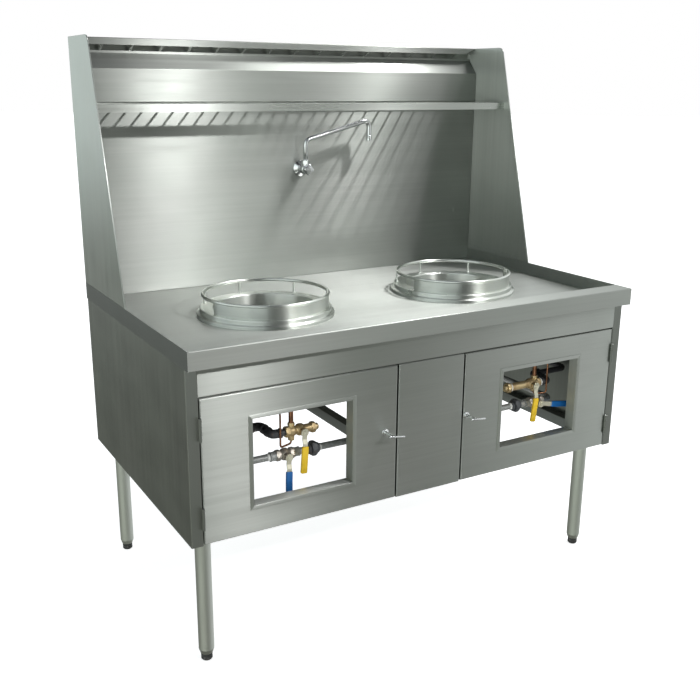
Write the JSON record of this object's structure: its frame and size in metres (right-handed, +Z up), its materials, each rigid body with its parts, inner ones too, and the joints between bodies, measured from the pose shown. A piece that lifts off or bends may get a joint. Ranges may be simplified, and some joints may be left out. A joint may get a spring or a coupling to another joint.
{
  "type": "wok range",
  "caption": "Free-standing stainless gas wok range: sunken worktop with raised wok rings, splashback with flue, rod shelf and tap, and a cabinet with windowed doors on tube legs.",
  "frame": {"origin": "on the floor, under the middle of the whole object with its door handles", "axes": "+X to the right seen from the front, +Y to the rear, +Z up"},
  "size_m": [1.303, 0.807, 1.464],
  "materials": {
    "panel_steel": "brushed No. 4 stainless sheet",
    "frame_steel": "plain mill-finish stainless",
    "tube_steel": "polished stainless tube",
    "ring_steel": "spun stainless, turned finish",
    "hinge_steel": "plain stainless",
    "handle_chrome": "bright chrome",
    "tap_chrome": "bright chrome",
    "burner_iron": "rough casting",
    "valve_brass": "machined",
    "lever_steel": "zinc-plated strip",
    "yellow_sleeve": "dipped vinyl",
    "blue_sleeve": "dipped vinyl",
    "tube_copper": "drawn copper",
    "black_pipe": "satin black",
    "galvanised_pipe": "dull zinc",
    "foot_pad": "moulded"
  },
  "bodies": {
    "cabinet": {"left_side_panel": "panel_steel", "right_side_panel": "panel_steel", "front_apron": "panel_steel", "centre_panel": "panel_steel", "rear_panel": "panel_steel", "worktop": "panel_steel", "splash_panel": "panel_steel", "left_wing": "panel_steel", "right_wing": "panel_steel", "flue_fascia": "panel_steel", "flue_cap": "panel_steel", "welded_frame": "frame_steel", "left_burner_well": "frame_steel", "right_burner_well": "frame_steel", "shelf_front_rail": "tube_steel", "shelf_rods": "tube_steel", "leg_front_left": "tube_steel", "leg_front_right": "tube_steel", "leg_rear_left": "tube_steel", "leg_rear_right": "tube_steel", "left_hob_ring": "ring_steel", "right_hob_ring": "ring_steel", "hinge_posts": "hinge_steel", "tap_body": "tap_chrome", "left_jet_burner": "burner_iron", "right_jet_burner": "burner_iron", "left_gas_valve": "valve_brass", "right_gas_valve": "valve_brass", "left_service_valve": "valve_brass", "right_service_valve": "valve_brass", "left_burner_tubes": "tube_copper", "right_burner_tubes": "tube_copper", "gas_header": "black_pipe", "service_pipe": "galvanised_pipe", "tap_feed": "galvanised_pipe"},
    "left_door": {"left_door": "panel_steel", "left_window_frame": "panel_steel", "left_door_hinges": "hinge_steel"},
    "right_door": {"right_door": "panel_steel", "right_window_frame": "panel_steel", "right_door_hinges": "hinge_steel"},
    "left_handle": {"left_door_handle": "handle_chrome"},
    "right_handle": {"right_door_handle": "handle_chrome"},
    "left_gas_lever": {"left_gas_lever": "lever_steel", "left_gas_grip": "yellow_sleeve"},
    "right_gas_lever": {"right_gas_lever": "lever_steel", "right_gas_grip": "yellow_sleeve"},
    "left_service_lever": {"left_service_lever": "lever_steel", "left_service_grip": "blue_sleeve"},
    "right_service_lever": {"right_service_lever": "lever_steel", "right_service_grip": "blue_sleeve"},
    "tap_spout": {"tap_spout": "tap_chrome"},
    "tap_knob": {"tap_knob": "tap_chrome"},
    "left_wok_ring": {"left_wok_ring": "ring_steel"},
    "right_wok_ring": {"right_wok_ring": "ring_steel"},
    "foot_front_left": {"foot_front_left": "foot_pad"},
    "foot_front_right": {"foot_front_right": "foot_pad"},
    "foot_rear_left": {"foot_rear_left": "foot_pad"},
    "foot_rear_right": {"foot_rear_right": "foot_pad"}
  },
  "joints": [
    {"name": "left_door_hinge", "type": "hinge", "parent": "cabinet", "child": "left_door", "pos_m": [-0.6205, -0.3653, 0.5155], "axis": [0, 0, -1], "range_deg": [0, 170]},
    {"name": "right_door_hinge", "type": "hinge", "parent": "cabinet", "child": "right_door", "pos_m": [0.6205, -0.3653, 0.5155], "axis": [0, 0, 1], "range_deg": [0, 170]},
    {"name": "left_handle_turn", "type": "hinge", "parent": "left_door", "child": "left_handle", "pos_m": [-0.1367, -0.3615, 0.526], "axis": [0, -1, 0], "range_deg": [0, 90]},
    {"name": "right_handle_turn", "type": "hinge", "parent": "right_door", "child": "right_handle", "pos_m": [0.113, -0.3615, 0.526], "axis": [0, 1, 0], "range_deg": [0, 90]},
    {"name": "left_gas_lever_turn", "type": "hinge", "parent": "cabinet", "child": "left_gas_lever", "pos_m": [-0.322, -0.2845, 0.534], "axis": [0, -1, 0], "range_deg": [0, 90]},
    {"name": "right_gas_lever_turn", "type": "hinge", "parent": "cabinet", "child": "right_gas_lever", "pos_m": [0.418, -0.2845, 0.534], "axis": [0, 1, 0], "range_deg": [0, 90]},
    {"name": "left_service_lever_turn", "type": "hinge", "parent": "cabinet", "child": "left_service_lever", "pos_m": [-0.365, -0.2845, 0.477], "axis": [0, 1, 0], "range_deg": [0, 90]},
    {"name": "right_service_lever_turn", "type": "hinge", "parent": "cabinet", "child": "right_service_lever", "pos_m": [0.44, -0.2845, 0.477], "axis": [0, 1, 0], "range_deg": [0, 90]},
    {"name": "tap_swivel", "type": "hinge", "parent": "cabinet", "child": "tap_spout", "pos_m": [0.002, 0.321, 1.12], "axis": [0, 0, 1], "range_deg": [-180, 0]},
    {"name": "tap_knob_turn", "type": "hinge", "parent": "cabinet", "child": "tap_knob", "pos_m": [0.002, 0.307, 1.106], "axis": [0, -1, 0], "range_deg": [0, 180]},
    {"name": "left_wok_ring_lift", "type": "slide", "parent": "cabinet", "child": "left_wok_ring", "axis": [0, 0, 1], "range_m": [0, 0.06]},
    {"name": "right_wok_ring_lift", "type": "slide", "parent": "cabinet", "child": "right_wok_ring", "axis": [0, 0, 1], "range_m": [0, 0.06]},
    {"name": "foot_front_left_screw", "type": "slide", "parent": "cabinet", "child": "foot_front_left", "axis": [0, 0, -1], "range_m": [0, 0.04]},
    {"name": "foot_front_right_screw", "type": "slide", "parent": "cabinet", "child": "foot_front_right", "axis": [0, 0, -1], "range_m": [0, 0.04]},
    {"name": "foot_rear_left_screw", "type": "slide", "parent": "cabinet", "child": "foot_rear_left", "axis": [0, 0, -1], "range_m": [0, 0.04]},
    {"name": "foot_rear_right_screw", "type": "slide", "parent": "cabinet", "child": "foot_rear_right", "axis": [0, 0, -1], "range_m": [0, 0.04]}
  ]
}
